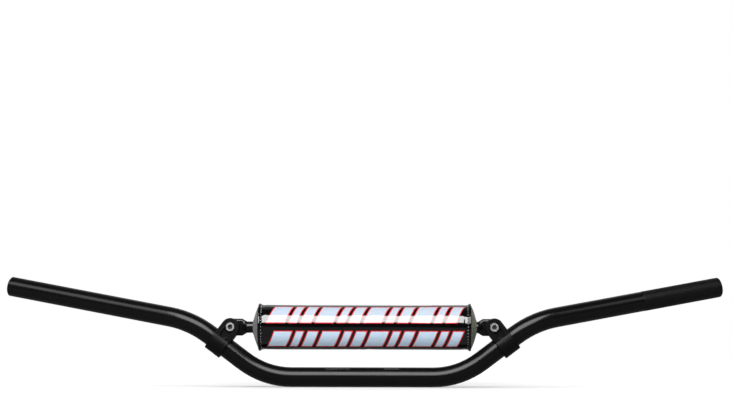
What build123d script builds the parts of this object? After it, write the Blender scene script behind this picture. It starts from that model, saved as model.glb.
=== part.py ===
from build123d import *
import os
from math import acos, atan2, cos, degrees, hypot, radians, sin, sqrt, tan

os.makedirs("parts", exist_ok=True)

# An off-road motorcycle handlebar: a bent 22.2 mm tube, braced by a crossbar that two clamps hold,
# with a round foam pad on the crossbar. Millimetres. The origin is on the tube's axis, in the middle
# of the zone that the stem clamps hold. +X points to the rider's left hand, +Y to the rider and +Z
# up. Most pieces are drawn for the rider's left, +X, and mirrored for the right.

# ---- driving dimensions ----------------------------------------------------------------------

# Main tube
TUBE_RADIUS = 11.1
TUBE_BORE_RADIUS = 7.0
FOOT_X = 109.0  # corner between the level centre and the rise
SHOULDER_X = 191.5  # corner between the rise and the grip
SHOULDER_Z = 62.5
END_X = 406.0  # centre of the tube's end
END_Y = 52.0  # sweep towards the rider
END_Z = 103.0
FOOT_BEND_RADIUS = 90.0
SHOULDER_BEND_RADIUS = 100.0
END_CHAMFER = 1.0

# Crossbar
CROSSBAR_Z = 55.7
CROSSBAR_RADIUS = 6.35
BOLT_X = 147.2
FLAT_HEIGHT = 19.0
FLAT_THICKNESS = 6.0
FLAT_START_X = 134.5
TAPER_START_X = 129.2
PRESSED_SIDE_ANGLE = 55.0  # half the arc of the round rod that each flat side is pressed from

# Clamps, in their own frame: x along the rising tube, y across it, z from the tube to the bolt
CLAMP_WIDTH = 20.0
CLAMP_WALL = 3.2
EAR_HALF_DEPTH = 13.0
CLAMP_EDGE_ROUND = 0.8
POCKET_WIDTH = 9.4
POCKET_REACH = 15.4  # from the bolt's axis to the pocket's lower end
POCKET_DEPTH = 2.8
POCKET_FLOOR_ROUND = 1.2
COUNTERBORE_RADIUS = 5.7
COUNTERBORE_DEPTH = 4.6

# M6 socket screw, washer and self-locking nut
SCREW_RADIUS = 3.0
SCREW_CLEARANCE_RADIUS = 3.3
HEAD_RADIUS = 5.0
HEAD_HEIGHT = 6.0
HEAD_CHAMFER = 0.5
TIP_CHAMFER = 0.6
SOCKET_ACROSS_FLATS = 5.0
SOCKET_DEPTH = 3.2
WASHER_RADIUS = 6.25
WASHER_THICKNESS = 1.6
NUT_ACROSS_FLATS = 10.0
NUT_HEIGHT = 4.8
NUT_CORNER_TURNED = 0.25  # taken off the corners' radius
COLLAR_WALL = 0.7
INSERT_RADIUS = 4.1
INSERT_HEIGHT = 1.4
THREAD_GAP = 0.02
SCREW_TIP_PAST_NUT = 1.8

# Crossbar pad
PAD_SHIFT = 2.7  # the pad sits a little to the rider's left of the middle
PAD_HALF_LENGTH = 118.2  # to the seams
PAD_DOME = 7.8  # the end panels bulge this far past the seams
FOAM_RADIUS = 23.1
SOFT_GAP = 0.4  # between the foam and what wraps it
FOAM_BORE_RADIUS = CROSSBAR_RADIUS + 0.3
FOAM_SLIT = 2.0
COVER_INNER_RADIUS = FOAM_RADIUS + SOFT_GAP
COVER_RADIUS = 24.6
COVER_SLIT = 2.0
BINDING_RADIUS = 26.9
BINDING_WIDTH = 4.0
BINDING_SLOPE = 1.2
PANEL_RADIUS = BINDING_RADIUS - 0.4
PANEL_THICKNESS = 1.2
PANEL_HOLE_RADIUS = 6.9
DOME_BELLY = (0.68, 0.56)  # a point on the dome: share of its reach, share of its rim's height

# Hook-and-loop closure at the back of the pad; angles are measured from +Y towards +Z
SLIT_ANGLE = 22.0
STRIP_TOP_ANGLE = 12.0
STRIP_BOTTOM_ANGLE = -38.0
FLAP_ROOT_ANGLE = 40.0
FLAP_BOTTOM_ANGLE = -42.0
HOOK_THICKNESS = 0.8
HOOK_TO_LOOP = 0.35
LOOP_THICKNESS = 0.8
LOOP_TO_FLAP = 0.05
FLAP_THICKNESS = 1.0
ROOT_GAP = 0.6
STRIP_HALF_LENGTH = 110.0
FLAP_HALF_LENGTH = 112.5

# ---- worked out from them --------------------------------------------------------------------

RISE_ANGLE = degrees(atan2(SHOULDER_Z, SHOULDER_X - FOOT_X))
RISE = Vector(cos(radians(RISE_ANGLE)), 0, sin(radians(RISE_ANGLE)))
RISE_NORMAL = Vector(-RISE.Z, 0, RISE.X)
FOOT_TO_BOLT = Vector(BOLT_X - FOOT_X, 0, CROSSBAR_Z)
BOLT_HEIGHT = FOOT_TO_BOLT.dot(RISE_NORMAL)  # from the tube's axis to the bolt's axis
CLAMP_ORIGIN = Vector(FOOT_X, 0, 0) + RISE * FOOT_TO_BOLT.dot(RISE)
CLAMP_RADIUS = TUBE_RADIUS + CLAMP_WALL
COUNTERBORE_FLOOR = -EAR_HALF_DEPTH + COUNTERBORE_DEPTH
PAD_MIDDLE = Location((PAD_SHIFT, 0, CROSSBAR_Z))
HOOK_RADIUS = COVER_RADIUS + HOOK_THICKNESS
LOOP_INNER_RADIUS = HOOK_RADIUS + HOOK_TO_LOOP
LOOP_RADIUS = LOOP_INNER_RADIUS + LOOP_THICKNESS
FLAP_INNER_RADIUS = LOOP_RADIUS + LOOP_TO_FLAP
FLAP_RADIUS = FLAP_INNER_RADIUS + FLAP_THICKNESS
FLAP_ROOT_INNER_RADIUS = COVER_RADIUS + ROOT_GAP


# ---- helpers ---------------------------------------------------------------------------------


def at_angle(radius, angle):
    """A point in the YZ plane at that radius and angle from +Y towards +Z."""
    return (radius * cos(radians(angle)), radius * sin(radians(angle)))


def ring_sector(inner, outer, low_angle, high_angle, half_length):
    """A strip wrapped round the X axis, between two radii and two angles."""
    middle = (low_angle + high_angle) / 2
    outline = make_face(
        Line(at_angle(inner, low_angle), at_angle(outer, low_angle))
        + ThreePointArc(at_angle(outer, low_angle), at_angle(outer, middle), at_angle(outer, high_angle))
        + Line(at_angle(outer, high_angle), at_angle(inner, high_angle))
        + ThreePointArc(at_angle(inner, high_angle), at_angle(inner, middle), at_angle(inner, low_angle))
    )
    return extrude(Plane.YZ * outline, half_length, both=True)


def along_y(radius, low, high, x=0.0, z=0.0):
    """A cylinder along Y between two heights."""
    middle = Location((x, (low + high) / 2, z), (90, 0, 0))
    return middle * Cylinder(radius, high - low)


def hexagon_along_y(across_flats, low, high, z=0.0):
    """A hexagonal prism along Y with two flats level."""
    outline = RegularPolygon(across_flats / 2, 6, major_radius=False, rotation=30)
    plane = Plane((0, high, z), x_dir=(1, 0, 0), z_dir=(0, 1, 0))
    return extrude(plane * outline, -(high - low))


def right_hand(piece):
    """The same piece for the rider's right."""
    return mirror(piece, about=Plane.YZ)


# ---- main tube -------------------------------------------------------------------------------


def main_tube():
    """The bent tube: a level centre, two rises and two swept grips, bored right through."""
    half = [(FOOT_X, 0, 0), (SHOULDER_X, 0, SHOULDER_Z), (END_X, END_Y, END_Z)]
    corners = [(-x, y, z) for x, y, z in reversed(half)] + half
    bends = [SHOULDER_BEND_RADIUS, FOOT_BEND_RADIUS, FOOT_BEND_RADIUS, SHOULDER_BEND_RADIUS]
    path = FilletPolyline(*corners, radius=bends)
    start = Plane(origin=path @ 0, z_dir=path % 0)
    outside = sweep(start * Circle(TUBE_RADIUS), path=path)
    bore = sweep(start * Circle(TUBE_BORE_RADIUS), path=path)
    tube = outside - bore
    ends = tube.faces().filter_by(GeomType.PLANE)
    return chamfer([face.outer_wire().edges()[0] for face in ends], END_CHAMFER)


# ---- crossbar --------------------------------------------------------------------------------


def quartered_circle(radius):
    """A circle in four arcs: two that are pressed flat, above and below X, and two that stay round."""
    turns = [side + half for side in (90, 270) for half in (-PRESSED_SIDE_ANGLE, PRESSED_SIDE_ANGLE)]
    arcs = [
        ThreePointArc(at_angle(radius, low), at_angle(radius, (low + high) / 2), at_angle(radius, high))
        for low, high in zip(turns, turns[1:] + [turns[0] + 360])
    ]
    return make_face(Curve() + arcs)


def crossbar():
    """A solid rod whose ends are forged flat, rounded and drilled for the clamp screws."""
    rod = Cylinder(CROSSBAR_RADIUS, 2 * TAPER_START_X, rotation=(0, 90, 0))
    flat = SlotOverall(FLAT_HEIGHT, FLAT_THICKNESS)
    taper_plane = Plane((TAPER_START_X, 0, 0), x_dir=(0, 0, 1), z_dir=(1, 0, 0))
    flat_plane = Plane((FLAT_START_X, 0, 0), x_dir=(0, 0, 1), z_dir=(1, 0, 0))
    taper = loft([taper_plane * quartered_circle(CROSSBAR_RADIUS), flat_plane * flat])
    blade = extrude(flat_plane * flat, BOLT_X + FLAT_HEIGHT / 2 - FLAT_START_X)
    rounded_end = along_y(FLAT_HEIGHT / 2, -FLAT_THICKNESS, FLAT_THICKNESS, x=BOLT_X)
    inboard = Location((BOLT_X - FLAT_HEIGHT, 0, 0)) * Box(2 * FLAT_HEIGHT, FLAT_HEIGHT, FLAT_HEIGHT)
    end = taper + (blade & (rounded_end + inboard))
    end -= along_y(SCREW_CLEARANCE_RADIUS, -FLAT_THICKNESS, FLAT_THICKNESS, x=BOLT_X)
    return Location((0, 0, CROSSBAR_Z)) * (rod + end + right_hand(end))


# ---- clamps ----------------------------------------------------------------------------------

CLAMP_PLACE = Plane(origin=CLAMP_ORIGIN, x_dir=RISE, z_dir=RISE_NORMAL).location


def clamp():
    """A forged clamp: a split ring round the tube, with two ears that grip the crossbar's flat end."""
    top = BOLT_HEIGHT + CLAMP_WIDTH / 2
    slot_height = top + 1
    ears = Pos(0, top / 2) * Rectangle(2 * EAR_HALF_DEPTH, top)
    section = Circle(CLAMP_RADIUS) + ears - Circle(TUBE_RADIUS)
    section -= Pos(0, slot_height / 2) * Rectangle(FLAT_THICKNESS, slot_height)
    body = extrude(Plane.YZ * section, CLAMP_WIDTH / 2, both=True)
    below_bolt = Location((0, 0, (BOLT_HEIGHT - 2 * CLAMP_RADIUS) / 2)) * Box(
        CLAMP_WIDTH, 4 * CLAMP_RADIUS, BOLT_HEIGHT + 2 * CLAMP_RADIUS
    )
    round_top = along_y(CLAMP_WIDTH / 2, -2 * CLAMP_RADIUS, 2 * CLAMP_RADIUS, z=BOLT_HEIGHT)
    body &= below_bolt + round_top

    # The outer edges of both ears and of the ring are rounded
    outer = [
        edge
        for edge in body.edges()
        if all(abs(point.Y) > EAR_HALF_DEPTH - 0.01 for point in (edge @ 0, edge @ 0.5, edge @ 1))
        or (edge.center().Z < 0 and hypot((edge @ 0.5).Y, (edge @ 0.5).Z) > CLAMP_RADIUS - 0.01)
    ]
    body = fillet(outer, CLAMP_EDGE_ROUND)

    # A counterbore for the screw's head, and a shallow pocket from it towards the tube
    pocket_outline = SlotCenterToCenter(POCKET_REACH - POCKET_WIDTH / 2, POCKET_WIDTH, rotation=90)
    pocket_plane = Plane(
        (0, -EAR_HALF_DEPTH + POCKET_DEPTH, BOLT_HEIGHT - (POCKET_REACH - POCKET_WIDTH / 2) / 2),
        x_dir=(1, 0, 0),
        z_dir=(0, -1, 0),
    )
    pocket = extrude(pocket_plane * pocket_outline, 2 * POCKET_DEPTH)
    floor = pocket.faces().sort_by(Axis.Y)[-1]
    body -= fillet(floor.edges(), POCKET_FLOOR_ROUND)
    body -= along_y(COUNTERBORE_RADIUS, -2 * CLAMP_RADIUS, COUNTERBORE_FLOOR, z=BOLT_HEIGHT)
    body -= along_y(SCREW_CLEARANCE_RADIUS, -2 * CLAMP_RADIUS, 2 * CLAMP_RADIUS, z=BOLT_HEIGHT)
    return CLAMP_PLACE * body


def clamp_screw():
    """An M6 socket screw from the front, its head sunk in the counterbore."""
    head_front = COUNTERBORE_FLOOR - HEAD_HEIGHT
    tip = EAR_HALF_DEPTH + WASHER_THICKNESS + NUT_HEIGHT + INSERT_HEIGHT + SCREW_TIP_PAST_NUT
    head = along_y(HEAD_RADIUS, head_front, COUNTERBORE_FLOOR, z=BOLT_HEIGHT)
    head = chamfer(head.edges().sort_by(Axis.Y)[0], HEAD_CHAMFER)
    head -= hexagon_along_y(SOCKET_ACROSS_FLATS, head_front - 1, head_front + SOCKET_DEPTH, z=BOLT_HEIGHT)
    shank = along_y(SCREW_RADIUS, COUNTERBORE_FLOOR, tip, z=BOLT_HEIGHT)
    shank = chamfer(shank.edges().sort_by(Axis.Y)[-1], TIP_CHAMFER)
    return CLAMP_PLACE * (head + shank)


def clamp_washer():
    """A plain washer under the nut, on the rear ear."""
    rear = EAR_HALF_DEPTH + WASHER_THICKNESS
    washer = along_y(WASHER_RADIUS, EAR_HALF_DEPTH, rear, z=BOLT_HEIGHT)
    washer -= along_y(SCREW_CLEARANCE_RADIUS, 0, rear + 1, z=BOLT_HEIGHT)
    return CLAMP_PLACE * washer


def clamp_nut():
    """The steel body of the self-locking nut, with its corners turned off."""
    front = EAR_HALF_DEPTH + WASHER_THICKNESS
    rear = front + NUT_HEIGHT
    nut = hexagon_along_y(NUT_ACROSS_FLATS, front, rear, z=BOLT_HEIGHT)
    corner_radius = NUT_ACROSS_FLATS / sqrt(3) - NUT_CORNER_TURNED
    turned = along_y(corner_radius, front, rear, z=BOLT_HEIGHT)
    nut &= chamfer(turned.edges().filter_by(GeomType.CIRCLE), 2 * NUT_CORNER_TURNED)
    nut += along_y(INSERT_RADIUS + COLLAR_WALL, rear, rear + INSERT_HEIGHT, z=BOLT_HEIGHT)
    nut -= along_y(INSERT_RADIUS, rear, rear + INSERT_HEIGHT, z=BOLT_HEIGHT)
    nut -= along_y(SCREW_RADIUS + THREAD_GAP, front, rear + INSERT_HEIGHT, z=BOLT_HEIGHT)
    return CLAMP_PLACE * nut


def nut_insert():
    """The nylon ring in the nut's collar, which stops it from shaking loose."""
    front = EAR_HALF_DEPTH + WASHER_THICKNESS + NUT_HEIGHT
    ring = along_y(INSERT_RADIUS, front, front + INSERT_HEIGHT, z=BOLT_HEIGHT)
    ring -= along_y(SCREW_RADIUS + THREAD_GAP, front, front + INSERT_HEIGHT, z=BOLT_HEIGHT)
    return CLAMP_PLACE * ring


# ---- crossbar pad ----------------------------------------------------------------------------


def dome(outer_radius, start_x, reach, hole_radius):
    """A closed dome round the X axis from start_x, with a hole for the crossbar."""
    # The curve leaves the rim steeply and flattens towards the crossbar
    along, up = DOME_BELLY
    belly = (start_x + along * reach, hole_radius + up * (outer_radius - hole_radius))
    outline = make_face(
        ThreePointArc((start_x, outer_radius), belly, (start_x + reach, hole_radius))
        + Line((start_x + reach, hole_radius), (start_x, hole_radius))
        + Line((start_x, hole_radius), (start_x, outer_radius))
    )
    return revolve(outline, Axis.X)


def foam_core():
    """The foam, slit along its back so that it can be pushed over the crossbar."""
    straight = PAD_HALF_LENGTH - SOFT_GAP
    foam = Cylinder(FOAM_RADIUS, 2 * straight, rotation=(0, 90, 0))
    end = dome(FOAM_RADIUS, straight, PAD_DOME - PANEL_THICKNESS - SOFT_GAP, FOAM_BORE_RADIUS)
    foam += end + right_hand(end)
    foam -= Cylinder(FOAM_BORE_RADIUS, 4 * straight, rotation=(0, 90, 0))
    slit = Location((0, FOAM_RADIUS, 0)) * Box(4 * straight, 2 * FOAM_RADIUS, FOAM_SLIT)
    turned = Rotation(SLIT_ANGLE, 0, 0)
    return PAD_MIDDLE * (foam - turned * slit)


def pad_cover():
    """The vinyl tube round the foam, open along the back under the flap."""
    cover = Cylinder(COVER_RADIUS, 2 * PAD_HALF_LENGTH, rotation=(0, 90, 0))
    cover -= Cylinder(COVER_INNER_RADIUS, 2 * PAD_HALF_LENGTH, rotation=(0, 90, 0))
    slit = Location((0, COVER_RADIUS, 0)) * Box(4 * PAD_HALF_LENGTH, COVER_RADIUS, COVER_SLIT)
    return PAD_MIDDLE * (cover - Rotation(SLIT_ANGLE, 0, 0) * slit)


def end_binding():
    """The folded and stitched edge of the cover at one end."""
    middle = Location((PAD_HALF_LENGTH - BINDING_WIDTH / 2, 0, 0))
    ring = middle * Cylinder(BINDING_RADIUS, BINDING_WIDTH, rotation=(0, 90, 0))
    ring = chamfer(ring.edges().filter_by(GeomType.CIRCLE).sort_by(Axis.X)[0], BINDING_SLOPE)
    ring -= middle * Cylinder(COVER_RADIUS, 2 * BINDING_WIDTH, rotation=(0, 90, 0))
    return ring


def end_panel():
    """The domed cloth disc that closes one end, with a hole for the crossbar."""
    outer = dome(PANEL_RADIUS, PAD_HALF_LENGTH, PAD_DOME, PANEL_HOLE_RADIUS)
    inner_radius = FOAM_RADIUS + SOFT_GAP
    inner = dome(inner_radius, PAD_HALF_LENGTH, PAD_DOME - PANEL_THICKNESS, PANEL_HOLE_RADIUS)
    return outer - inner


def hook_strip():
    """The stiff hook half of the closure, sewn to the cover."""
    return PAD_MIDDLE * ring_sector(
        COVER_RADIUS, HOOK_RADIUS, STRIP_BOTTOM_ANGLE, STRIP_TOP_ANGLE, STRIP_HALF_LENGTH
    )


def loop_strip():
    """The soft loop half of the closure, sewn inside the flap."""
    return PAD_MIDDLE * ring_sector(
        LOOP_INNER_RADIUS, LOOP_RADIUS, STRIP_BOTTOM_ANGLE, STRIP_TOP_ANGLE, STRIP_HALF_LENGTH
    )


def closure_flap():
    """The vinyl flap that covers the slit: it leaves the cover at its root and laps over the strips."""
    lap = ring_sector(
        FLAP_INNER_RADIUS, FLAP_RADIUS, FLAP_BOTTOM_ANGLE, STRIP_TOP_ANGLE, FLAP_HALF_LENGTH
    )
    ramp = make_face(Polyline(
        at_angle(FLAP_INNER_RADIUS, STRIP_TOP_ANGLE),
        at_angle(FLAP_RADIUS, STRIP_TOP_ANGLE),
        at_angle(FLAP_ROOT_INNER_RADIUS + FLAP_THICKNESS, FLAP_ROOT_ANGLE),
        at_angle(FLAP_ROOT_INNER_RADIUS, FLAP_ROOT_ANGLE),
        close=True,
    ))
    return PAD_MIDDLE * (lap + extrude(Plane.YZ * ramp, FLAP_HALF_LENGTH, both=True))


# ---- all nodes -------------------------------------------------------------------------------

nodes = {
    "main_tube": main_tube(),
    "crossbar": crossbar(),
    "foam_core": foam_core(),
    "pad_cover": pad_cover(),
    "hook_strip": hook_strip(),
    "loop_strip": loop_strip(),
    "closure_flap": closure_flap(),
}

clamp_pieces = {
    "clamp": clamp(),
    "clamp_screw": clamp_screw(),
    "clamp_washer": clamp_washer(),
    "clamp_nut": clamp_nut(),
    "nut_insert": nut_insert(),
}
for name, piece in clamp_pieces.items():
    nodes[name + "_left"] = piece
    nodes[name + "_right"] = right_hand(piece)

for name, piece in {"end_binding": end_binding(), "end_panel": end_panel()}.items():
    nodes[name + "_left"] = PAD_MIDDLE * piece
    nodes[name + "_right"] = PAD_MIDDLE * right_hand(piece)

for name, shape in nodes.items():
    export_step(shape, f"parts/{name}.step")

print("rise angle", round(RISE_ANGLE, 2), "bolt height over the tube's axis", round(BOLT_HEIGHT, 2))
grip = Vector(END_X - SHOULDER_X, END_Y, END_Z - SHOULDER_Z)
turn = acos(grip.normalized().dot(RISE))
print("straight grip", round(grip.length - SHOULDER_BEND_RADIUS * tan(turn / 2), 2))
print("straight centre", round(2 * (FOOT_X - FOOT_BEND_RADIUS * tan(radians(RISE_ANGLE) / 2)), 2))
print("grip direction", grip.normalized())
print("flap outer radius", round(FLAP_RADIUS, 2))
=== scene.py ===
# %% [markdown]
# # A handlebar with a crossbar and a pad
# The CAD model already has every hard piece at its real size: the bent tube, the crossbar, its clamps and
# their screws. This lesson gives those pieces their finishes and makes the soft pad again as real cloth, foam
# and thread. The CAD parts could be modelled again here, but they would drift from the parts that fit
# together, so they stay where they are and only their materials change.

# %% Load the CAD parts
import math
import random

import bmesh
import bpy
import numpy as np
from mathutils import Matrix, Vector, noise


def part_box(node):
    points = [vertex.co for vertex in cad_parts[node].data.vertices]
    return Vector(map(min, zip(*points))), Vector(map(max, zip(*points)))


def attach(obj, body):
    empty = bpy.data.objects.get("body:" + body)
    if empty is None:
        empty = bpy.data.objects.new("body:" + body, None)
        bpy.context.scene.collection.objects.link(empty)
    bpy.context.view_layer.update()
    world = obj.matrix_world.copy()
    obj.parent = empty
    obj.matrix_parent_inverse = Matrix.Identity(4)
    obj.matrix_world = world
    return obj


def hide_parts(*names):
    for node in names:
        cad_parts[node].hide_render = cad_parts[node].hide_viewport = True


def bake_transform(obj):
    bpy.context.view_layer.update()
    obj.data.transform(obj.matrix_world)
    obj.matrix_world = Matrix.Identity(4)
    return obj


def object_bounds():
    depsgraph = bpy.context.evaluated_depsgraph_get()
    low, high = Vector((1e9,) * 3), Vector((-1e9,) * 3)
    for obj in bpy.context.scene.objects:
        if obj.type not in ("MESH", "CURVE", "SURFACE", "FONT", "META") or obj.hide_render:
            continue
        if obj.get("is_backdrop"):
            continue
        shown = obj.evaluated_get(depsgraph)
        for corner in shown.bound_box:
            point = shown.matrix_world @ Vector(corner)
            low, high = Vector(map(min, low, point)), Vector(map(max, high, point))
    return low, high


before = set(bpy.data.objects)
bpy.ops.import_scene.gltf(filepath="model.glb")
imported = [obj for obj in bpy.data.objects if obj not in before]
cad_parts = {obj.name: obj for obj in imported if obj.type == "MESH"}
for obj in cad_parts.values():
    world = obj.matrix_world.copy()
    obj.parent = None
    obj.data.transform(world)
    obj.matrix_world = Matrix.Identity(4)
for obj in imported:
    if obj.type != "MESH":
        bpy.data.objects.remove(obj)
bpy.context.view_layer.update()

# %% [markdown]
# ## The numbers that the pad is built from
# The pad is a foam roll on the crossbar, in a tube of vinyl. Each of its points is easiest to name by how
# far it is along the bar, how far from the crossbar's axis, and at which angle round it, from the back up
# and over.

# %% Pad sizes and the helper that places a point on it
MM = 0.001
PAD_X = 2.7 * MM
AXIS_Z = 55.7 * MM
COVER_RADIUS = 24.6 * MM
HALF_LENGTH = 118.2 * MM
DOME = 6.7 * MM
SEAM_RADIUS = 25.7 * MM
HOLE_RADIUS = 6.9 * MM
SLIT_ANGLE = 22.0
PAD_CENTRE = Vector((PAD_X, 0, AXIS_Z))
ALONG = Vector((1, 0, 0))


def around(x, radius, degrees):
    """The point at x along the pad, at that radius and angle about the crossbar."""
    a = math.radians(degrees)
    return Vector((PAD_X + x, radius * math.cos(a), AXIS_Z + radius * math.sin(a)))


def away_from_axis(degrees):
    """The direction away from the crossbar at that angle."""
    a = math.radians(degrees)
    return Vector((0, math.cos(a), math.sin(a)))


def ease(t):
    """Goes smoothly from 0 to 1 as t does."""
    t = min(max(t, 0.0), 1.0)
    return t * t * (3 - 2 * t)


pad_reach = HALF_LENGTH + DOME
print("pad from", round(PAD_X - pad_reach, 4), "to", round(PAD_X + pad_reach, 4))

# %% [markdown]
# ## Meshes from rows of points
# Nearly everything soft here is a grid: rows along the pad and columns round it. One helper turns such rows
# into a mesh, so that each piece below is only a formula for where its points are.

# %% Helpers that make, thicken and join meshes


def mesh_piece(name, points, faces, facing=None):
    """A smooth mesh object. Its faces turn away from the point facing, if one is given."""
    mesh = bpy.data.meshes.new(name)
    mesh.from_pydata([tuple(p) for p in points], [], faces)
    mesh.update()
    if facing is not None:
        if sum((f.center - facing).dot(f.normal) * f.area for f in mesh.polygons) < 0:
            mesh.flip_normals()
    mesh.shade_smooth()
    made = bpy.data.objects.new(name, mesh)
    bpy.context.collection.objects.link(made)
    return made


def surface(name, rows, closed=False, facing=PAD_CENTRE):
    """A grid mesh. Closed joins the last column to the first."""
    n = len(rows[0])
    columns = n if closed else n - 1
    faces = [
        (i * n + j, i * n + (j + 1) % n, (i + 1) * n + (j + 1) % n, (i + 1) * n + j)
        for i in range(len(rows) - 1)
        for j in range(columns)
    ]
    return mesh_piece(name, [p for row in rows for p in row], faces, facing)


def end_rows(rows, columns):
    """The numbers of the points in a grid's first and last rows, which its seams hold."""
    return list(range(columns)) + list(range((rows - 1) * columns, rows * columns))


def face_outwards(made, join_within=None):
    """Turns every face of a closed mesh outwards, after joining points that lie together."""
    bm = bmesh.new()
    bm.from_mesh(made.data)
    if join_within:
        bmesh.ops.remove_doubles(bm, verts=bm.verts, dist=join_within)
    bmesh.ops.recalc_face_normals(bm, faces=bm.faces)
    bm.to_mesh(made.data)
    bm.free()
    made.data.shade_smooth()


def bake(made):
    """Makes the modifiers part of the mesh."""
    graph = bpy.context.evaluated_depsgraph_get()
    mesh = bpy.data.meshes.new_from_object(made.evaluated_get(graph))
    made.modifiers.clear()
    made.data = mesh
    mesh.shade_smooth()
    return made


def thicken(made, thickness, levels=1, offset=-1.0):
    """Gives a sheet its thickness, inwards unless offset says otherwise, and rounds it."""
    solid = made.modifiers.new("thickness", "SOLIDIFY")
    solid.thickness, solid.offset, solid.use_even_offset = thickness, offset, True
    if levels:
        made.modifiers.new("rounding", "SUBSURF").levels = levels
    return bake(made)


def copies(name, template, places):
    """One mesh of many small copies. Each place is (point, along, out), and template is in that frame."""
    shape, faces = template
    points, all_faces = [], []
    for point, along, out in places:
        along = along.normalized()
        side = out.cross(along).normalized()
        up = along.cross(side)
        turn = np.array([along, side, up]).T
        all_faces += [tuple(v + len(points) for v in f) for f in faces]
        points += [tuple(p) for p in shape @ turn.T + np.array(point)]
    return mesh_piece(name, points, all_faces)


def ball_shape(length, width, height):
    """A squashed ball, used as one stitch."""
    bm = bmesh.new()
    bmesh.ops.create_uvsphere(bm, u_segments=8, v_segments=6, radius=0.5)
    shape = np.array([v.co for v in bm.verts]) * (length, width, height)
    faces = [tuple(v.index for v in f.verts) for f in bm.faces]
    bm.free()
    return shape, faces


def wire_shape(path, radius, sides=4):
    """A bent bristle or loop along a few points, used for hook and loop tape."""
    points, faces = [], []
    for i, p in enumerate(path):
        ahead = (path[min(i + 1, len(path) - 1)] - path[max(i - 1, 0)]).normalized()
        across = Vector((0, 1, 0))
        up = ahead.cross(across)
        for k in range(sides):
            a = math.tau * k / sides
            points.append(p + (across * math.cos(a) + up * math.sin(a)) * radius)
    for i in range(len(path) - 1):
        for k in range(sides):
            j = (k + 1) % sides
            faces.append((i * sides + k, i * sides + j, (i + 1) * sides + j, (i + 1) * sides + k))
    faces.append(tuple(range(sides)))
    faces.append(tuple(range((len(path) - 1) * sides, len(path) * sides)))
    return np.array(points), faces


def dress(made, material, body):
    """Gives a piece its finish and the body that it moves with."""
    made.data.materials.clear()
    made.data.materials.append(material)
    if body:
        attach(made, body)
    print(made.name, len(made.data.vertices), "points on", body or "two bodies")
    return made


print("mesh helpers ready")

# %% [markdown]
# ## Cloth that really bulges
# Vinyl sewn over foam isn't a perfect cylinder: air and foam push it out between the seams, and the seams
# hold it in. It could be drawn as a pattern of bumps, but a short cloth simulation finds that shape itself.
# The mesh is made ten times larger while it runs, because cloth settings suit things the size of clothes.

# %% A short cloth simulation with held seams
SIM_SCALE = 10
SIM_FRAMES = 20


def let_cloth_bulge(made, held, pressure, shrink, inward, outward):
    """Runs the cloth and keeps each point within inward and outward of where it began, along its normal."""
    before = np.array([v.co for v in made.data.vertices])
    normals = np.array([v.normal for v in made.data.vertices])
    made.data.transform(Matrix.Scale(SIM_SCALE, 4))
    group = made.vertex_groups.new(name="held")
    group.add(held, 1.0, "REPLACE")
    cloth = made.modifiers.new("cloth", "CLOTH")
    cloth.settings.quality = 6
    cloth.settings.mass = 0.2
    cloth.settings.tension_stiffness = cloth.settings.compression_stiffness = 12
    cloth.settings.bending_stiffness = 0.6
    cloth.settings.use_pressure = True
    cloth.settings.uniform_pressure_force = pressure
    cloth.settings.shrink_min = shrink
    cloth.settings.vertex_group_mass = "held"
    cloth.settings.effector_weights.gravity = 0
    cloth.collision_settings.use_collision = False
    cloth.point_cache.frame_end = SIM_FRAMES
    for number in range(1, SIM_FRAMES + 1):
        bpy.context.scene.frame_set(number)
    graph = bpy.context.evaluated_depsgraph_get()
    after = np.array([v.co for v in made.evaluated_get(graph).data.vertices]) / SIM_SCALE
    made.modifiers.clear()
    made.vertex_groups.clear()
    bpy.context.scene.frame_set(1)
    moved = np.nan_to_num(after - before)
    out = (moved * normals).sum(axis=1)
    capped = np.clip(out, -inward, outward)
    final = before + normals * capped[:, None]
    made.data.vertices.foreach_set("co", final.astype(np.float32).ravel())
    made.data.update()
    least, most = (round(float(v) / MM, 2) for v in (capped.min(), capped.max()))
    print(made.name, "moved", least, "to", most, "mm")


print("cloth settings ready")

# %% [markdown]
# ## Building a material from nodes
# A material here is a small graph. Writing each node takes several lines, so two helpers add a node and set
# or connect its inputs in one call. An effect that several materials share is a node group.

# %% Helpers for nodes and groups


def add(tree, kind, values=None, **settings):
    """Adds a node. In values, a key is an input's name or number, and a socket there is connected."""
    made = tree.nodes.new(kind)
    for key, value in settings.items():
        setattr(made, key, value)
    for key, value in (values or {}).items():
        if isinstance(value, bpy.types.NodeSocket):
            tree.links.new(value, made.inputs[key])
        else:
            made.inputs[key].default_value = value
    return made


def calc(tree, operation, *values):
    """A Math node's result."""
    return add(tree, "ShaderNodeMath", dict(enumerate(values)), operation=operation).outputs[0]


def remap(tree, value, from_low, from_high, to_low, to_high):
    """A Map Range node's result."""
    ends = {1: from_low, 2: from_high, 3: to_low, 4: to_high}
    return add(tree, "ShaderNodeMapRange", {0: value, **ends}).outputs[0]


def mix_colour(tree, factor, first, second):
    """The first colour where the factor is 0 and the second where it is 1. Either may be a socket."""
    first, second = (c if isinstance(c, bpy.types.NodeSocket) else (*c, 1) for c in (first, second))
    return add(tree, "ShaderNodeMix", {"Factor": factor, 6: first, 7: second}, data_type="RGBA").outputs[2]


def patches(tree, place, scale, detail):
    """A noise texture's value."""
    return add(tree, "ShaderNodeTexNoise", {"Vector": place, "Scale": scale, "Detail": detail}).outputs[0]


def bump(tree, height, strength, distance):
    """The normal that a height gives."""
    values = {"Height": height, "Strength": strength, "Distance": distance}
    return add(tree, "ShaderNodeBump", values).outputs[0]


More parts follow.
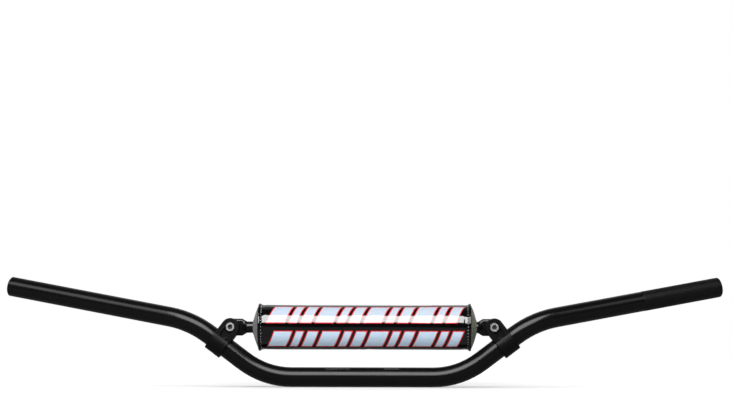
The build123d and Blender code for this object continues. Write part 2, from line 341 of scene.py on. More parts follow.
def new_group(name, inputs, outputs):
    """A node group with those sockets, and its input node's and output node's sockets."""
    tree = bpy.data.node_groups.new(name, "ShaderNodeTree")
    for label, value in inputs.items():
        tree.interface.new_socket(label, in_out="INPUT", socket_type="NodeSocketFloat").default_value = value
    for label, kind in outputs.items():
        tree.interface.new_socket(label, in_out="OUTPUT", socket_type=kind)
    return tree, tree.nodes.new("NodeGroupInput").outputs, tree.nodes.new("NodeGroupOutput").inputs


def use(tree, group, values=None):
    """Adds a group to a material and returns its outputs."""
    made = tree.nodes.new("ShaderNodeGroup")
    made.node_tree = group
    for key, value in (values or {}).items():
        made.inputs[key].default_value = value
    return made.outputs


def wear(tree, inputs, group, values=None):
    """Gives a material the roughness and the normal that come out of a group."""
    skin = use(tree, group, values)
    for label in ("Roughness", "Normal"):
        tree.links.new(skin[label], inputs[label])


def new_material(name, **settings):
    """A material with a Principled shader, and that shader's inputs."""
    made = bpy.data.materials.new(name)
    made.use_nodes = True
    shader = made.node_tree.nodes["Principled BSDF"]
    for label, value in settings.items():
        shader.inputs[label.replace("_", " ")].default_value = value
    return made, made.node_tree, shader.inputs


def position(tree):
    """Where a point is on the object, in metres."""
    return add(tree, "ShaderNodeTexCoord").outputs["Object"]


def split(tree, vector):
    """A vector's x, y and z."""
    return add(tree, "ShaderNodeSeparateXYZ", {0: vector}).outputs


print("node helpers ready")

# %% [markdown]
# ## Effects that several finishes share
# Anodised, forged and plated metal and the nylon of the inserts all have a fine grain, and patches that are
# a little more worn, which change how sharp their highlight is. Cloth and tape show threads crossing. The
# vinyl and the sewing thread have a group each, further down.

# %% Node groups for grain and weave
SKIN_OUTPUTS = {"Roughness": "NodeSocketFloat", "Normal": "NodeSocketVector"}
METAL, metal_in, metal_out = new_group(
    "metal skin", {"Grain": 2500.0, "Depth": 0.1, "Low": 0.3, "High": 0.4}, SKIN_OUTPUTS
)
place = position(METAL)
worn = patches(METAL, place, 60.0, 6.0)
METAL.links.new(remap(METAL, worn, 0.3, 0.7, metal_in["Low"], metal_in["High"]), metal_out["Roughness"])
grain = patches(METAL, place, metal_in["Grain"], 3.0)
METAL.links.new(bump(METAL, grain, metal_in["Depth"], 0.2 * MM), metal_out["Normal"])

WEAVE, weave_in, weave_out = new_group(
    "crossing threads",
    {"Threads": 420.0, "Depth": 0.5},
    {"Shade": "NodeSocketFloat", "Normal": "NodeSocketVector"},
)
place = position(WEAVE)
lines = {"Vector": place, "Scale": weave_in["Threads"]}
warp, weft = (add(WEAVE, "ShaderNodeTexWave", lines, bands_direction=way).outputs[1] for way in "ZY")
height = calc(WEAVE, "MULTIPLY", warp, weft)
fuzz = patches(WEAVE, place, 900.0, 4.0)
# This is partly painted shade, darker where the threads dip, and partly a random tone.
shade = calc(WEAVE, "MULTIPLY_ADD", height, 0.35, calc(WEAVE, "MULTIPLY_ADD", fuzz, 0.5, 0.5))
WEAVE.links.new(shade, weave_out["Shade"])
WEAVE.links.new(bump(WEAVE, shade, weave_in["Depth"], 0.3 * MM), weave_out["Normal"])
print("groups:", METAL.name, "and", WEAVE.name)

# %% [markdown]
# ## Metal finishes
# The tube and crossbar are anodised black, which is smooth with a soft highlight. The clamps are forged and
# rougher. The screws are turned bright steel with painted shade in their recesses, and the washers and nuts
# are dull zinc plate.

# %% Metal materials


def metal(name, colour, metallic, low, high, grain=2500.0, depth=0.1, shine=0.5):
    """A metal finish. Low and high are its roughness where it is polished and where it is dull."""
    made, tree, inputs = new_material(
        name, Base_Color=(*colour, 1), Metallic=metallic, Specular_IOR_Level=shine
    )
    wear(tree, inputs, METAL, {"Low": low, "High": high, "Grain": grain, "Depth": depth})
    return made


ANODISED_BLACK = (0.0028, 0.0028, 0.003)
STEEL = (0.38, 0.38, 0.375)
SHADED_STEEL = (0.03, 0.03, 0.03)
anodised = metal("anodised_black_finish", ANODISED_BLACK, 0.0, 0.18, 0.23, depth=0.02, shine=0.2)
crossbar_finish = metal("crossbar_black_finish", ANODISED_BLACK, 0.0, 0.19, 0.25, depth=0.025, shine=0.32)
forged = metal("forged_black_finish", (0.0022, 0.0022, 0.0022), 0.0, 0.34, 0.46, 1400.0, 0.12, shine=0.13)
bright_steel = metal("bright_steel_finish", STEEL, 1.0, 0.4, 0.5, 1800.0, 0.08)
steel_tree = bright_steel.node_tree
# Ambient occlusion darkens the steel's colour in its socket and other recesses: painted shade.
open_air = add(steel_tree, "ShaderNodeAmbientOcclusion", {"Distance": 0.004}, only_local=True).outputs["AO"]
steel = mix_colour(steel_tree, calc(steel_tree, "POWER", open_air, 2.5), SHADED_STEEL, STEEL)
steel_tree.links.new(steel, steel_tree.nodes["Principled BSDF"].inputs["Base Color"])
zinc = metal("zinc_finish", (0.5, 0.51, 0.53), 1.0, 0.32, 0.48, 1600.0, 0.12)

nylon = metal("nylon_finish", (0.03, 0.09, 0.3), 0.0, 0.4, 0.52, 900.0, 0.08)
nylon.node_tree.nodes["Principled BSDF"].inputs["Subsurface Weight"].default_value = 0.1
print("metals ready")

# %% [markdown]
# ## A printed scale on the tube
# The middle of such a tube carries small printed lines that help to centre it in its clamps. They are ink
# with no thickness, so the tube's material draws them: a mask that is 1 on each line.

# %% Alignment lines in the tube's material
LINE_PITCH = 1.6 * MM
LINE_GREY = (0.2, 0.2, 0.2)
tree = anodised.node_tree
axes = split(tree, position(tree))
angle = calc(tree, "ARCTAN2", axes[2], calc(tree, "MULTIPLY", axes[1], -1.0))
in_strip = calc(tree, "COMPARE", angle, math.radians(58), math.radians(7))
stripe = calc(tree, "LESS_THAN", calc(tree, "PINGPONG", axes[0], LINE_PITCH / 2), 0.14 * MM)
left_scale = calc(tree, "COMPARE", axes[0], 33 * MM, 8 * MM)
right_scale = calc(tree, "COMPARE", axes[0], -27.5 * MM, 13.5 * MM)
on_a_scale = calc(tree, "ADD", left_scale, right_scale)
ticks = calc(tree, "MULTIPLY", calc(tree, "MULTIPLY", in_strip, stripe), on_a_scale)
tint = mix_colour(tree, ticks, ANODISED_BLACK, LINE_GREY)
tree.links.new(tint, tree.nodes["Principled BSDF"].inputs["Base Color"])
print("line every", LINE_PITCH / MM, "mm")

# %% [markdown]
# ## Glossy printed vinyl
# The cover is black vinyl with a sharp shine and two rows of slanted pale blocks, each with a thin red edge.
# An image could carry the print, but a formula stays sharp at any distance: how deep a point lies inside its
# block decides whether it is pale, red or black.

# %% Vinyl materials
ROW_PERIOD = 53.7 * MM
PRINT_START = -104.6 * MM
PRINT_HALF = 107.4 * MM
SLANT = math.tan(math.radians(21))
BLOCKS = ((10.75, 10.75), (29.5, 5.0), (44.1, 6.6))
UPPER_ROW = (math.radians(37.5), math.radians(28.5))
LOWER_ROW = (math.radians(-35.2), math.radians(25.6))
EDGE = 1.15 * MM
VINYL_BLACK = (0.0015, 0.0015, 0.0018)
EDGE_RED = (0.5, 0.022, 0.026)
# The upper row's pale is darker than the lower row's: painted shade that offsets the stronger light on the
# pad's top.
PAINTED_SHADE_UPPER_PALE = ((0.37, 0.44, 0.47), (0.34, 0.38, 0.5))
LOWER_PALE = (0.4, 0.51, 0.62)

vinyl, tree, vinyl_inputs = new_material("printed_vinyl_finish")
vinyl_inputs["Specular IOR Level"].default_value = 0.7
place = position(tree)
axes = split(tree, place)
along = calc(tree, "SUBTRACT", axes[0], PAD_X)
angle = calc(tree, "ARCTAN2", calc(tree, "SUBTRACT", axes[2], AXIS_Z), calc(tree, "MULTIPLY", axes[1], -1.0))
is_upper = calc(tree, "GREATER_THAN", angle, 0.0)
in_rows = []
for middle, half in (UPPER_ROW, LOWER_ROW):
    off = calc(tree, "SUBTRACT", angle, middle)
    in_rows.append((off, calc(tree, "SUBTRACT", half, calc(tree, "ABSOLUTE", off))))
off, inside = (
    add(tree, "ShaderNodeMix", {0: is_upper, 2: lower, 3: upper}).outputs[0]
    for upper, lower in zip(*in_rows)
)
off_arc = calc(tree, "MULTIPLY", off, COVER_RADIUS)
deep_arc = calc(tree, "MULTIPLY", inside, COVER_RADIUS)
slanted = calc(tree, "MULTIPLY_ADD", off_arc, -SLANT, calc(tree, "SUBTRACT", along, PRINT_START))
in_period = calc(tree, "FLOORED_MODULO", slanted, ROW_PERIOD)
deep_blocks = [
    calc(tree, "SUBTRACT", half * MM, calc(tree, "ABSOLUTE", calc(tree, "SUBTRACT", in_period, middle * MM)))
    for middle, half in BLOCKS
]
deep_x = calc(tree, "MAXIMUM", calc(tree, "MAXIMUM", deep_blocks[0], deep_blocks[1]), deep_blocks[2])
from_middle = calc(tree, "ABSOLUTE", calc(tree, "SUBTRACT", slanted, PRINT_HALF))
from_ends = calc(tree, "SUBTRACT", PRINT_HALF, from_middle)
deep = calc(tree, "MINIMUM", calc(tree, "MINIMUM", deep_x, deep_arc), from_ends)
pale = calc(tree, "GREATER_THAN", deep, EDGE)
printed = calc(tree, "GREATER_THAN", deep, 0.0)
# The upper blocks take that darker, painted-shade pale, with a random tone between its two colours.
painted_shade_upper_pale = mix_colour(tree, patches(tree, place, 22.0, 1.0), *PAINTED_SHADE_UPPER_PALE)
block = mix_colour(tree, is_upper, LOWER_PALE, painted_shade_upper_pale)
black_or_red = mix_colour(tree, printed, VINYL_BLACK, EDGE_RED)
tree.links.new(mix_colour(tree, pale, black_or_red, block), vinyl_inputs["Base Color"])

VINYL, vinyl_in, vinyl_out = new_group("vinyl skin", {"Depth": 0.12}, SKIN_OUTPUTS)
place = position(VINYL)
rubbed = patches(VINYL, place, 90.0, 5.0)
VINYL.links.new(remap(VINYL, rubbed, 0.35, 0.7, 0.045, 0.09), vinyl_out["Roughness"])
ripple = patches(VINYL, place, 140.0, 2.0)
VINYL.links.new(bump(VINYL, ripple, vinyl_in["Depth"], 0.4 * MM), vinyl_out["Normal"])


def plain_finish(name, colour, group):
    """A finish of one colour whose roughness and normal come from a group."""
    made, tree, inputs = new_material(name, Base_Color=(*colour, 1))
    wear(tree, inputs, group)
    return made


wear(vinyl.node_tree, vinyl_inputs, VINYL)
plain_vinyl = plain_finish("plain_vinyl_finish", VINYL_BLACK, VINYL)
binding_vinyl = plain_finish("binding_finish", (0.002, 0.002, 0.002), VINYL)
print("blocks in a period:", len(BLOCKS))

# %% [markdown]
# ## Cloth, foam, tape and thread
# The two end panels are different cloths, one neutral grey and one olive. Their threads are too fine to
# model, so the weave group gives them their bump, their slightly uneven tone and a painted shade where the
# threads dip. The sewing thread is modelled stitch by stitch, and a third group gives it its twisted strands.

# %% Soft materials


def cloth(name, colour, threads=420.0, depth=0.5, roughness=0.85):
    """Woven cloth whose threads vary a little in tone, with painted shade where they dip."""
    made, tree, inputs = new_material(name, Roughness=roughness)
    threads_out = use(tree, WEAVE, {"Threads": threads, "Depth": depth})
    # The darker colour goes where the threads dip (painted shade) and where the random tone is low.
    dark = tuple(0.55 * c for c in colour)
    tree.links.new(mix_colour(tree, threads_out["Shade"], dark, colour), inputs["Base Color"])
    tree.links.new(threads_out["Normal"], inputs["Normal"])
    inputs["Sheen Weight"].default_value = 0.15
    return made


olive = cloth("olive_cloth", (0.074, 0.08, 0.042))
grey = cloth("grey_cloth", (0.068, 0.068, 0.069))
tape_cloth = cloth("tape_cloth", (0.02, 0.02, 0.021), 600.0, 0.5, 0.8)
foam, tree, foam_inputs = new_material("foam_finish", Base_Color=(0.035, 0.035, 0.037, 1), Roughness=0.95)
cells = add(tree, "ShaderNodeTexVoronoi", {"Vector": position(tree), "Scale": 900.0}).outputs["Distance"]
tree.links.new(bump(tree, cells, 0.8, 0.6 * MM), foam_inputs["Normal"])

TWIST, twist_in, twist_out = new_group("twisted strands", {"Strands": 1400.0}, SKIN_OUTPUTS)
lines = {"Vector": position(TWIST), "Scale": twist_in["Strands"]}
strands = add(TWIST, "ShaderNodeTexWave", lines, bands_direction="DIAGONAL").outputs[1]
TWIST.links.new(remap(TWIST, strands, 0.0, 1.0, 0.72, 0.5), twist_out["Roughness"])
TWIST.links.new(bump(TWIST, strands, 0.35, 0.1 * MM), twist_out["Normal"])
thread = plain_finish("thread_finish", (0.45, 0.45, 0.44), TWIST)
dark_thread = plain_finish("dark_thread_finish", (0.03, 0.03, 0.03), TWIST)
print("soft materials ready")

# %% [markdown]
# ## Finishes for the CAD pieces
# The hard pieces are already the right shape, so each only gets its material.

# %% Dress the CAD pieces
FINISHES = {
    "main_tube": anodised,
    "crossbar": crossbar_finish,
    "clamp": forged,
    "clamp_screw": bright_steel,
    "clamp_washer": zinc,
    "clamp_nut": zinc,
    "nut_insert": nylon,
}
for name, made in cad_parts.items():
    stem = name.removesuffix("_left").removesuffix("_right")
    if stem in FINISHES:
        for held_slot in made.material_slots:
            held_slot.material = FINISHES[stem]
print("dressed", [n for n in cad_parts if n.removesuffix("_left").removesuffix("_right") in FINISHES])

# %% [markdown]
# ## The vinyl cover
# The cover is one sheet rolled round the foam and open along the back, where the flap closes it. It flares
# where it is sewn to its ends, and the thread gathers it into small puckers there.

# %% Make the cover
FLARE_FROM = 112.5 * MM
FLARE = 1.1 * MM
PUCKER = 0.08 * MM
PUCKER_REACH = 10 * MM
COVER_ROWS, COVER_COLUMNS = 121, 161
SLIT_COLUMNS = (0, 1, COVER_COLUMNS - 2, COVER_COLUMNS - 1)


def cover_radius(x, degrees):
    """The cover's outside radius, with its flare, its puckers and slight unevenness."""
    a = math.radians(degrees)
    gather = max(0.0, 1 - (HALF_LENGTH - abs(x)) / PUCKER_REACH) ** 1.3
    folds = math.sin(23 * a + 1.3) + 0.6 * math.sin(37 * a + (2.0 if x > 0 else 0.4))
    uneven = noise.noise(Vector((x * 28, 2.2 * math.cos(a), 2.2 * math.sin(a))))
    return (
        COVER_RADIUS
        + FLARE * ease((abs(x) - FLARE_FROM) / (HALF_LENGTH - FLARE_FROM))
        + PUCKER * gather * folds
        + 0.16 * MM * uneven
    )


cover_rows = []
for i in range(COVER_ROWS):
    x = HALF_LENGTH * (2 * i / (COVER_ROWS - 1) - 1)
    angles = [SLIT_ANGLE + 0.8 + (360 - 1.6) * j / (COVER_COLUMNS - 1) for j in range(COVER_COLUMNS)]
    cover_rows.append([around(x, cover_radius(x, a), a) for a in angles])
cover = surface("cover_vinyl", cover_rows)
held = end_rows(COVER_ROWS, COVER_COLUMNS)
held += [i * COVER_COLUMNS + j for i in range(COVER_ROWS) for j in SLIT_COLUMNS]
let_cloth_bulge(cover, held, 4.0, -0.01, 0.12 * MM, 0.25 * MM)
thicken(cover, 0.8 * MM)
dress(cover, vinyl, "pad_cover")
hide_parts("pad_cover")

# %% [markdown]
# ## The foam inside
# A slit foam roll grips the crossbar. Little of it shows, except through the gap at the back when the flap
# is open, but it has to be there, because the cover rests on it.

# %% Make the foam
FOAM_RADIUS = 23.1 * MM
FOAM_BORE = 6.65 * MM
FOAM_STRAIGHT = 116.6 * MM
FOAM_DOME = 4.8 * MM
SLIT_HALF = 1.0 * MM
FOAM_COLUMNS = 73
DOME_STEPS = 8


def belly(t):
    """How far a domed end stands out, from 0 at its rim to 1 at its hole."""
    return 1 - (1 - t) ** 1.2


right_side = []
for step in range(DOME_STEPS + 1):
    t = step / DOME_STEPS
    right_side.append((FOAM_STRAIGHT + FOAM_DOME * belly(t), FOAM_RADIUS + (FOAM_BORE - FOAM_RADIUS) * t))
outline = [(x, r) for x, r in reversed(right_side)] + [(-x, r) for x, r in right_side]
foam_points = []
for x, r in outline:
    open_by = math.degrees(math.asin(SLIT_HALF / r))
    for j in range(FOAM_COLUMNS):
        foam_points.append(around(x, r, SLIT_ANGLE + open_by + (360 - 2 * open_by) * j / (FOAM_COLUMNS - 1)))
count = len(outline)
foam_faces = []
for i in range(count):
    here, there = i * FOAM_COLUMNS, (i + 1) % count * FOAM_COLUMNS
    foam_faces += [(here + j, here + j + 1, there + j + 1, there + j) for j in range(FOAM_COLUMNS - 1)]
foam_faces.append(tuple(i * FOAM_COLUMNS for i in range(count)))
foam_faces.append(tuple(i * FOAM_COLUMNS + FOAM_COLUMNS - 1 for i in reversed(range(count))))
foam_roll = mesh_piece("foam_roll", foam_points, foam_faces)
face_outwards(foam_roll)
foam_roll.data.set_sharp_from_angle(angle=math.radians(50))
dress(foam_roll, foam, "pad_core")
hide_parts("foam_core")

# %% [markdown]
# ## The cloth ends
# Each end is a disc of cloth pulled in round the crossbar, so it makes radial folds. The folds start as a
# pattern and the cloth simulation softens them, with the seam and the hole held.

# %% Make the end panels, their hems, bindings and stitches
PANEL_ROWS, PANEL_COLUMNS = 30, 192
STITCH = ball_shape(2.3 * MM, 0.62 * MM, 0.5 * MM)
SHORT_STITCH = ball_shape(1.3 * MM, 0.6 * MM, 0.5 * MM)
EDGE_STITCHES = 44
SEWN_INSET = 3.2 * MM


def ring(name, profile, columns=144, wave=0.0):
    """A closed band turned about the crossbar from a profile of (x, radius) points."""
    rows = []
    for x, r in profile + profile[:1]:
        row = []
        for j in range(columns):
            a = 360 * j / columns
            row.append(around(x, r + wave * math.sin(math.radians(23 * a) + 1.3), a))
        rows.append(row)
    made = surface(name, rows, closed=True)
    face_outwards(made, join_within=1e-7)
    return made


def circle_profile(x, r, half_x, half_r, steps=10):
    """An oval section for a hem or a folded edge."""
    turns = [math.tau * k / steps for k in range(steps)]
    return [(x + half_x * math.cos(a), r + half_r * math.sin(a)) for a in turns]


for side, word, material, seed in ((1, "left", olive, 3), (-1, "right", grey, 8)):
    rows = []
    draw = random.Random(seed)
    folds = [(draw.randint(7, 31), draw.uniform(0, 360), draw.uniform(0.4, 1.0)) for _ in range(6)]
    for i in range(PANEL_ROWS):
        t = i / (PANEL_ROWS - 1)
        row = []
        for j in range(PANEL_COLUMNS):
            a = 360 * j / PANEL_COLUMNS
            wave = sum(k * math.sin(math.radians(n * a + p)) for n, p, k in folds)
            lift = 0.26 * MM * wave * math.sin(math.pi * min(1, t * 1.15 + 0.05)) * (1 - 0.4 * t)
            radius = SEAM_RADIUS + (HOLE_RADIUS - SEAM_RADIUS) * t
            row.append(around(side * (HALF_LENGTH - 0.4 * MM + DOME * belly(t) + lift), radius, a))
        rows.append(row)
    panel = surface(f"end_cloth_{word}", rows, closed=True)
    let_cloth_bulge(panel, end_rows(PANEL_ROWS, PANEL_COLUMNS), 4.0, -0.02, 0.3 * MM, 0.3 * MM)
    thicken(panel, 0.7 * MM)
    dress(panel, material, "pad_cover")
    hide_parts(f"end_panel_{word}")

    hem_x = side * (HALF_LENGTH - 0.5 * MM + DOME)
    hem = ring(f"end_hem_{word}", circle_profile(hem_x, HOLE_RADIUS + 0.7 * MM, 0.6 * MM, 0.65 * MM))
    dress(hem, material, "pad_cover")

    edge_x = side * (HALF_LENGTH - 0.9 * MM)
    fold = circle_profile(edge_x, SEAM_RADIUS + 0.1 * MM, 1.3 * MM, 0.62 * MM, 14)
    binding = ring(f"edge_binding_{word}", fold, wave=0.09 * MM)
    dress(binding, binding_vinyl, "pad_cover")
    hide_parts(f"end_binding_{word}")

    sewn_x = side * (HALF_LENGTH - SEWN_INSET)
    places = []
    for k in range(EDGE_STITCHES):
        a = 360 * k / EDGE_STITCHES + draw.uniform(-0.5, 0.5)
        point = around(sewn_x, cover_radius(sewn_x, a) + 0.16 * MM, a)
        out = away_from_axis(a)
        places.append((point, ALONG.cross(out), out))
    sewn = copies(f"edge_stitches_{word}", SHORT_STITCH, places)
    dress(sewn, thread, "pad_cover")
print("both ends made")

# %% [markdown]
# ## The closure at the back
# A flap hangs from a sewn line above the slit and closes on hook and loop tape. The hooks and loops are
# small real shapes, because the flap opens and they are then seen.

# %% Make the tapes and the flap
FLAP_HALF = 112.5 * MM
STRIP_HALF = 110 * MM
TAPE_THICK = 0.45 * MM


def strip(name, half, sections, thickness, columns=90):
    """A sheet along the pad. Sections are its (angle, radius) points round the pad, for its outer face."""
    rows = [[around(half * (2 * i / columns - 1), r, a) for a, r in sections] for i in range(columns + 1)]
    made = surface(name, rows)
    return thicken(made, thickness, levels=1)


def arc(start, stop, radius, steps):
    """The sections of an arc between two angles, at one radius."""
    return [(start + (stop - start) * k / steps, radius) for k in range(steps + 1)]


hook_tape = strip("hook_tape", STRIP_HALF, arc(-38, 12, 25.1 * MM, 14), TAPE_THICK)
dress(hook_tape, tape_cloth, "pad_cover")
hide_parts("hook_strip")
loop_tape = strip("loop_tape", STRIP_HALF, arc(-38, 12, 26.55 * MM, 14), TAPE_THICK)
dress(loop_tape, tape_cloth, "closure_flap")
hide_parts("loop_strip")

draw = random.Random(21)
HOOK_PATH = ((0, 0, 0), (0, 0, 0.34), (0.14, 0, 0.48), (0.32, 0, 0.36))
LOOP_PATH = ((-0.3, 0, 0), (-0.34, 0, 0.3), (0, 0, 0.46), (0.34, 0, 0.3), (0.3, 0, 0))
HOOK = wire_shape([Vector(p) * MM for p in HOOK_PATH], 0.07 * MM, 3)
LOOP = wire_shape([Vector(p) * MM for p in LOOP_PATH], 0.05 * MM, 3)
BRISTLE_MARGIN = 1.5 * MM
BRISTLE_WIDTH = 20 * MM
BRISTLES_FROM, BRISTLES_SPAN = -35, 44


def bristles(name, template, radius, outwards, pitch, jitter):
    """Rows of small shapes over a tape."""
    places = []
    for i in range(int(2 * (STRIP_HALF - BRISTLE_MARGIN) / pitch)):
        for j in range(int(BRISTLE_WIDTH / pitch)):
            a = BRISTLES_FROM + BRISTLES_SPAN * j / (BRISTLE_WIDTH / pitch - 1)
            x = -STRIP_HALF + BRISTLE_MARGIN + i * pitch + draw.uniform(-jitter, jitter)
            out = away_from_axis(a) * outwards
            spin = draw.uniform(-0.5, 0.5)
            places.append((around(x, radius, a), ALONG + spin * out.cross(ALONG), out))
    return copies(name, template, places)


hooks = bristles("hook_bristles", HOOK, 25.08 * MM, 1, 1.7 * MM, 0.05 * MM)
dress(hooks, dark_thread, "pad_cover")
loops = bristles("loop_bristles", LOOP, 26.12 * MM, -1, 1.3 * MM, 0.4 * MM)
dress(loops, dark_thread, "closure_flap")

FLAP_LAP = 50.0
flap_sections = [
    (FLAP_LAP, 25.45 * MM),
    (47.0, 25.5 * MM),
    (44.0, 25.9 * MM),
    (41.0, 26.6 * MM),
    (38.0, 27.2 * MM),
    (35.0, 27.45 * MM),
] + arc(32, -42, 27.5 * MM, 22)
flap = strip("flap_vinyl", FLAP_HALF, flap_sections, 0.85 * MM, 110)
dress(flap, plain_vinyl, None)
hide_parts("closure_flap")
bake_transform(flap)


def sewn_line(name, degrees, radius, half, body, pitch=3.4 * MM):
    """Stitches along the pad at one angle and radius."""
    spots = [-half + (k + 0.5) * pitch for k in range(int(2 * half / pitch))]
    places = [(around(x, radius, degrees), ALONG, away_from_axis(degrees)) for x in spots]
    return dress(copies(name, STITCH, places), dark_thread, body)


sewn_line("flap_root_stitches", 47.5, 25.55 * MM, FLAP_HALF - 2 * MM, "pad_cover")
tape_stitches = [
    sewn_line("flap_stitches_top", 10.5, 27.55 * MM, STRIP_HALF - 2 * MM, "closure_flap"),
    sewn_line("flap_stitches_low", -36.5, 27.55 * MM, STRIP_HALF - 2 * MM, "closure_flap"),
]

# %% [markdown]
# ## The knurled grip end
# The end of the left grip is knurled, so that a rubber grip doesn't creep. Two sets of fine grooves cross at
# an angle. A bump in the material would vanish at the outline, so the sleeve has the diamonds in its mesh.

# %% Make the knurl
GRIP_END = Vector((406, 52, 103)) * MM
SHOULDER = Vector((191.5, 0, 62.5)) * MM  # the corner between the rise and the grip
GRIP_DIRECTION = (GRIP_END - SHOULDER).normalized()
TUBE_RADIUS = 11.1 * MM
KNURL_LENGTH = 95 * MM
KNURL_COUNT = 50
KNURL_START = 1.4 * MM
KNURL_DEPTH = 0.14 * MM
KNURL_PROUD, KNURL_SINK = 0.03 * MM, 0.04 * MM
PER_DIAMOND = 5
grip_side = GRIP_DIRECTION.cross(Vector((0, 0, 1))).normalized()
grip_up = grip_side.cross(GRIP_DIRECTION)
pitch = math.tau * TUBE_RADIUS / KNURL_COUNT
knurl_rows = []
row_count = int(KNURL_LENGTH / pitch * PER_DIAMOND)
for i in range(row_count + 1):
    s = KNURL_START + (KNURL_LENGTH - KNURL_START) * i / row_count
    ends = ease(min(i, row_count - i) / 6)
    row = []
    for j in range(KNURL_COUNT * PER_DIAMOND):
        u = j / PER_DIAMOND
        v = s / pitch
        one, two = (abs((w % 1.0) - 0.5) * 2 for w in (u + v, u - v))
        diamond = KNURL_DEPTH * min(1.0, 1.5 * min(one, two))
        lift = diamond * ends + KNURL_PROUD * ends - KNURL_SINK * (1 - ends)
        a = math.tau * u / KNURL_COUNT
        out = grip_side * math.cos(a) + grip_up * math.sin(a)
        row.append(GRIP_END - GRIP_DIRECTION * s + out * (TUBE_RADIUS + lift))
    knurl_rows.append(row)
knurl_middle = GRIP_END - GRIP_DIRECTION * KNURL_LENGTH / 2
knurl = surface("grip_knurl", knurl_rows, closed=True, facing=knurl_middle)
knurl_black = metal("knurl_finish", (0.003, 0.003, 0.003), 0.0, 0.36, 0.46, depth=0.08, shine=0.14)
dress(knurl, knurl_black, "bar")
print("knurl", row_count, "rows at", round(pitch / MM, 2), "mm pitch")

# %% [markdown]
# ## Screw threads
# The screws stick out a little past their nuts, and there the thread shows. A ridge wound round the tip is
# enough, since the rest of the thread is inside the nut.

# %% Make the threads
THREAD_PITCH = 1.0 * MM
THREAD_ROOT = 2.9 * MM
THREAD_SECTION = ((-0.42, -0.1), (-0.1, 0.12), (0.1, 0.12), (0.42, -0.1))
THREAD_TURNS, STEPS_A_TURN = 1.6, 32
for side, word in ((1, "left"), (-1, "right")):
    low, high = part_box(f"clamp_screw_{word}")
    centre_x, centre_z = (low.x + high.x) / 2, (low.z + high.z) / 2
    start_y = high.y - 1.9 * MM
    rows = []
    for i in range(int(THREAD_TURNS * STEPS_A_TURN) + 1):
        a = math.tau * i / STEPS_A_TURN
        fade = ease(min(i, THREAD_TURNS * STEPS_A_TURN - i) / 6)
        centre_y = start_y + THREAD_PITCH * a / math.tau
        row = []
        for y, r in THREAD_SECTION:
            reach = THREAD_ROOT + r * MM * fade - 0.05 * MM * (1 - fade)
            across = centre_y + y * MM * (0.3 + 0.7 * fade)
            row.append(Vector((centre_x + reach * math.cos(a), across, centre_z + reach * math.sin(a))))
        rows.append(row)
    ridge = surface(f"screw_thread_{word}", rows, closed=True, facing=Vector((centre_x, start_y, centre_z)))
    dress(ridge, bright_steel, "bar")
print("threads at", THREAD_PITCH / MM, "mm pitch")

# %% [markdown]
# ## A white studio
# The floor and the background are plain white to the camera, except for a faint painted shadow: the floor's
# glow dims towards the object and where the tube stands.
# A dark front and one large light above it give black metal its long highlights: a black thing shows what it
# reflects, so the light's shape and place matter more here than its strength.

# %% Floor, world and lights
FLOOR_Z = -11.1 * MM
floor_mesh = bpy.data.meshes.new("floor")
FLOOR_HALF = 30.0
corners = [(x * FLOOR_HALF, y * FLOOR_HALF, FLOOR_Z) for x, y in ((-1, -1), (1, -1), (1, 1), (-1, 1))]
floor_mesh.from_pydata(corners, [], [(0, 1, 2, 3)])
floor = bpy.data.objects.new("floor", floor_mesh)
bpy.context.collection.objects.link(floor)
floor_white = bpy.data.materials.new("floor_white")
floor_white.use_nodes = True
tree = floor_white.node_tree
tree.nodes.remove(tree.nodes["Principled BSDF"])
stretch = {0: position(tree), 1: (2.5, 1, 1)}
oval = add(tree, "ShaderNodeVectorMath", stretch, operation="MULTIPLY").outputs[0]
away = add(tree, "ShaderNodeVectorMath", {0: oval}, operation="LENGTH").outputs["Value"]
# Painted shadow: the floor's glow dims towards the object, and again where ambient occlusion finds the tube.
fade = remap(tree, away, 0.2, 1.2, 0.46, 1.05)
contact_shade = add(tree, "ShaderNodeAmbientOcclusion", {"Distance": 0.12}).outputs["AO"]
fade = calc(tree, "MULTIPLY", fade, calc(tree, "MULTIPLY_ADD", contact_shade, 0.5, 0.5))
glow = add(tree, "ShaderNodeEmission", {"Color": (1, 1, 1, 1), "Strength": fade})
lit = add(tree, "ShaderNodeBsdfDiffuse", {"Color": (0.3, 0.3, 0.3, 1)})
seen = add(tree, "ShaderNodeAddShader", {0: glow.outputs[0], 1: lit.outputs[0]})
mirrored = add(tree, "ShaderNodeEmission", {"Color": (1, 1, 1, 1), "Strength": 0.2})
path = add(tree, "ShaderNodeLightPath")
either = {0: path.outputs["Is Glossy Ray"], 1: seen.outputs[0], 2: mirrored.outputs[0]}
shown = add(tree, "ShaderNodeMixShader", either)
tree.links.new(shown.outputs[0], tree.nodes["Material Output"].inputs["Surface"])
floor_mesh.materials.append(floor_white)
floor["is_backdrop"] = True

scene = bpy.context.scene
scene.view_settings.view_transform = "Standard"
world = bpy.data.worlds.new("studio")
scene.world = world
world.use_nodes = True
tree = world.node_tree
direction = split(tree, add(tree, "ShaderNodeTexCoord").outputs["Generated"])
behind = remap(tree, direction[1], 0.1, 0.8, 0.01, 0.35)
raised = remap(tree, direction[2], 0.05, 0.35, 0.15, 1.0)
behind = calc(tree, "MULTIPLY", behind, raised)
path = add(tree, "ShaderNodeLightPath")
strength = add(tree, "ShaderNodeMix", {0: path.outputs["Is Camera Ray"], 2: behind, 3: 1.0}).outputs[0]
tree.links.new(strength, tree.nodes["Background"].inputs["Strength"])
tree.nodes["Background"].inputs["Color"].default_value = (1, 1, 1, 1)


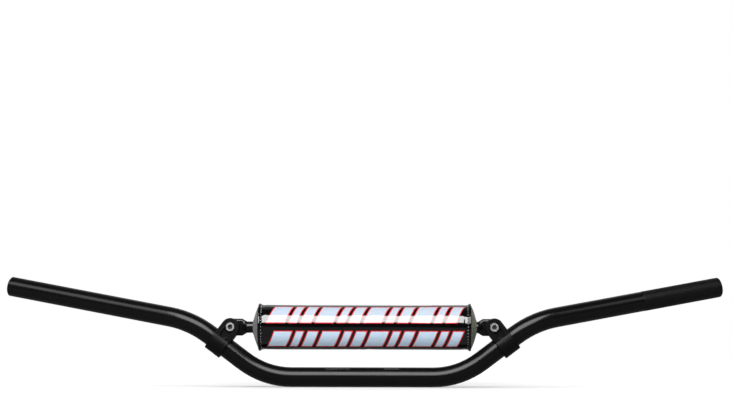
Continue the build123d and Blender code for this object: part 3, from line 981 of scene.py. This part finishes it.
def softbox(name, place, size, radiance, target=(0, 0, 0.05)):
    """A rectangular light of that brightness, aimed at the object."""
    lamp = bpy.data.lights.new(name, "AREA")
    lamp.shape, lamp.size, lamp.size_y = "RECTANGLE", size[0], size[1]
    lamp.energy = radiance * math.pi * size[0] * size[1]
    made = bpy.data.objects.new(name, lamp)
    bpy.context.collection.objects.link(made)
    made.location = place
    made.rotation_euler = (Vector(target) - Vector(place)).to_track_quat("-Z", "Y").to_euler()
    made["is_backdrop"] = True
    return made


softbox("key_light", (-0.15, -1.17, 1.14), (1.2, 1.05), 12.0)
softbox("left_fill", (-1.1, -0.92, 1.2), (0.6, 0.8), 4.5)
softbox("right_fill", (1.05, -0.95, 1.2), (0.6, 0.8), 2.0)
softbox("rear_light", (0.2, 1.5, 1.4), (1.6, 0.6), 0.5)

# %% [markdown]
# ## The camera
# The camera stands in front, a little to the object's left, almost level with it and far enough away that
# the bar isn't distorted. It looks slightly above the bar, which leaves the bar low in the frame.

# %% Place the camera
DISTANCE = 2.3
TO_THE_LEFT, ABOVE = math.radians(1.456), math.radians(0.5)
LOOK_UP, LOOK_LEFT, ROLL = math.radians(4.675), math.radians(0.094), math.radians(0.13)
camera_data = bpy.data.cameras.new("camera")
camera_data.sensor_width, camera_data.lens = 36.0, 100.9
camera = bpy.data.objects.new("camera", camera_data)
bpy.context.collection.objects.link(camera)
camera.location = DISTANCE * Vector(
    (math.sin(TO_THE_LEFT) * math.cos(ABOVE), -math.cos(TO_THE_LEFT) * math.cos(ABOVE), math.sin(ABOVE))
)
aim = (-camera.location).to_track_quat("-Z", "Y").to_matrix().to_4x4()
turn = Matrix.Rotation(LOOK_UP, 4, "X") @ Matrix.Rotation(-LOOK_LEFT, 4, "Y") @ Matrix.Rotation(ROLL, 4, "Z")
camera.matrix_world = Matrix.Translation(camera.location) @ aim @ turn
scene.camera = camera
camera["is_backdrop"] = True
print("camera at", [round(v, 3) for v in camera.location])

# %% [markdown]
# ## Measure the size
# Puckers, thread and knurl add a little to the CAD shape, so the box round everything shown is printed.

# %% Measure the size
low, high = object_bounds()
print("visual box", [round(v, 4) for v in high - low])
